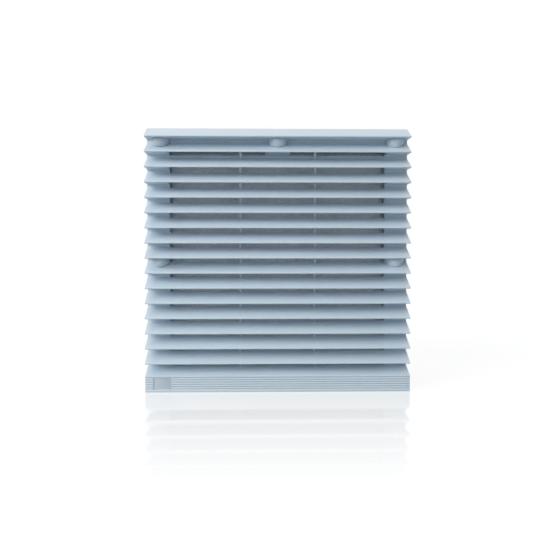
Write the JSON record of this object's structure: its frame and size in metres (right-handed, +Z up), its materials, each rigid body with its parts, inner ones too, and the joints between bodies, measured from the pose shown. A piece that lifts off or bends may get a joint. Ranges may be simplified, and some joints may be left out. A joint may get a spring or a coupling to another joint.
{
  "type": "louvred filter fan",
  "caption": "Square wall-mounted filter fan with a sloped-slat louvre cover, pull-out screw caps, fleece mat, panel frame and an axial fan behind a wire guard.",
  "frame": {"origin": "middle of the panel cut-out, on the panel's front surface", "axes": "+X right and +Z up seen from the front; -Y points out of the louvre, +Y into the cabinet"},
  "size_m": [0.323, 0.1493, 0.323],
  "materials": {
    "cover_plastic": "fine matt moulded ABS, light blue-grey",
    "cap_plastic": "fine matt moulded ABS, light blue-grey",
    "badge_plastic": "smooth blank inlay, blue-grey",
    "frame_plastic": "matt moulded ABS, light blue-grey",
    "filter_fleece": "coarse bonded fibre mat, grey-mauve",
    "gasket_foam": "closed-cell foam, black",
    "housing_metal": "die-cast aluminium, black paint",
    "impeller_plastic": "glass-filled nylon, black",
    "rotor_steel": "drawn steel cup",
    "lamination_steel": "stacked electrical steel",
    "shaft_steel": "ground steel",
    "bearing_steel": "polished bearing steel",
    "tube_aluminium": "turned aluminium",
    "winding_copper": "enamelled copper wire",
    "lead_rubber": "black sheath",
    "guard_chrome": "bright plated wire",
    "screw_steel": "zinc-plated steel",
    "clip_steel": "spring steel strip",
    "terminal_plastic": "black nylon",
    "terminal_brass": "nickel-free brass"
  },
  "bodies": {
    "frame": {"base_frame": "frame_plastic", "panel_gasket": "gasket_foam", "mat_grid": "frame_plastic", "panel_screw_1": "screw_steel", "panel_screw_2": "screw_steel", "panel_screw_3": "screw_steel", "panel_screw_4": "screw_steel", "panel_screw_5": "screw_steel", "panel_screw_6": "screw_steel", "panel_screw_7": "screw_steel", "panel_screw_8": "screw_steel", "fan_housing": "housing_metal", "bearing_front": "bearing_steel", "bearing_rear": "bearing_steel", "bearing_tube": "tube_aluminium", "stator_core": "lamination_steel", "winding_front": "winding_copper", "winding_rear": "winding_copper", "motor_lead": "lead_rubber", "finger_guard": "guard_chrome", "fan_screw_1": "screw_steel", "fan_screw_2": "screw_steel", "fan_screw_3": "screw_steel", "fan_screw_4": "screw_steel", "guard_screw_1": "screw_steel", "guard_screw_2": "screw_steel", "guard_screw_3": "screw_steel", "guard_screw_4": "screw_steel", "terminal_block": "terminal_plastic", "terminal_screw_1": "terminal_brass", "terminal_screw_2": "terminal_brass", "terminal_screw_3": "terminal_brass", "earth_tab": "terminal_brass"},
    "cover": {"louvre_cover": "cover_plastic", "badge_inlay": "badge_plastic"},
    "cap_1": {"screw_cap_1": "cap_plastic"},
    "cap_2": {"screw_cap_2": "cap_plastic"},
    "cap_3": {"screw_cap_3": "cap_plastic"},
    "cap_4": {"screw_cap_4": "cap_plastic"},
    "cap_5": {"screw_cap_5": "cap_plastic"},
    "mat": {"filter_mat": "filter_fleece"},
    "clip_1": {"panel_clip_1": "clip_steel"},
    "clip_2": {"panel_clip_2": "clip_steel"},
    "clip_3": {"panel_clip_3": "clip_steel"},
    "clip_4": {"panel_clip_4": "clip_steel"},
    "rotor": {"impeller": "impeller_plastic", "rotor_cup": "rotor_steel", "rotor_core": "lamination_steel", "rotor_shaft": "shaft_steel", "shaft_circlip": "shaft_steel"},
    "terminal_lid": {"terminal_cover": "terminal_plastic"}
  },
  "joints": [
    {"name": "cover_pull", "type": "slide", "parent": "frame", "child": "cover", "axis": [0, -1, 0], "range_m": [0, 0.12]},
    {"name": "mat_pull", "type": "slide", "parent": "frame", "child": "mat", "axis": [0, -1, 0], "range_m": [0, 0.06]},
    {"name": "cap_1_pull", "type": "slide", "parent": "cover", "child": "cap_1", "axis": [0, -1, 0], "range_m": [0, 0.03]},
    {"name": "cap_2_pull", "type": "slide", "parent": "cover", "child": "cap_2", "axis": [0, -1, 0], "range_m": [0, 0.03]},
    {"name": "cap_3_pull", "type": "slide", "parent": "cover", "child": "cap_3", "axis": [0, -1, 0], "range_m": [0, 0.03]},
    {"name": "cap_4_pull", "type": "slide", "parent": "cover", "child": "cap_4", "axis": [0, -1, 0], "range_m": [0, 0.03]},
    {"name": "cap_5_pull", "type": "slide", "parent": "cover", "child": "cap_5", "axis": [0, -1, 0], "range_m": [0, 0.03]},
    {"name": "clip_1_flex", "type": "hinge", "parent": "frame", "child": "clip_1", "pos_m": [-0.072, 0.025, 0.1377], "axis": [1, 0, 0], "range_deg": [0, 9], "stiffness_Nm_per_rad": 2},
    {"name": "clip_2_flex", "type": "hinge", "parent": "frame", "child": "clip_2", "pos_m": [0.072, 0.025, 0.1377], "axis": [1, 0, 0], "range_deg": [0, 9], "stiffness_Nm_per_rad": 2},
    {"name": "clip_3_flex", "type": "hinge", "parent": "frame", "child": "clip_3", "pos_m": [-0.072, 0.025, -0.1377], "axis": [-1, 0, 0], "range_deg": [0, 9], "stiffness_Nm_per_rad": 2},
    {"name": "clip_4_flex", "type": "hinge", "parent": "frame", "child": "clip_4", "pos_m": [0.072, 0.025, -0.1377], "axis": [-1, 0, 0], "range_deg": [0, 9], "stiffness_Nm_per_rad": 2},
    {"name": "impeller_spin", "type": "hinge", "parent": "frame", "child": "rotor", "pos_m": [0, 0.067, 0], "axis": [0, 1, 0], "continuous": true},
    {"name": "terminal_lid_open", "type": "hinge", "parent": "frame", "child": "terminal_lid", "pos_m": [0, 0.0875, 0.1093], "axis": [-1, 0, 0], "range_deg": [0, 95]}
  ],
  "couplings": [
    {"joint": "mat_pull", "follows": "cover_pull", "ratio": 0.5}
  ]
}
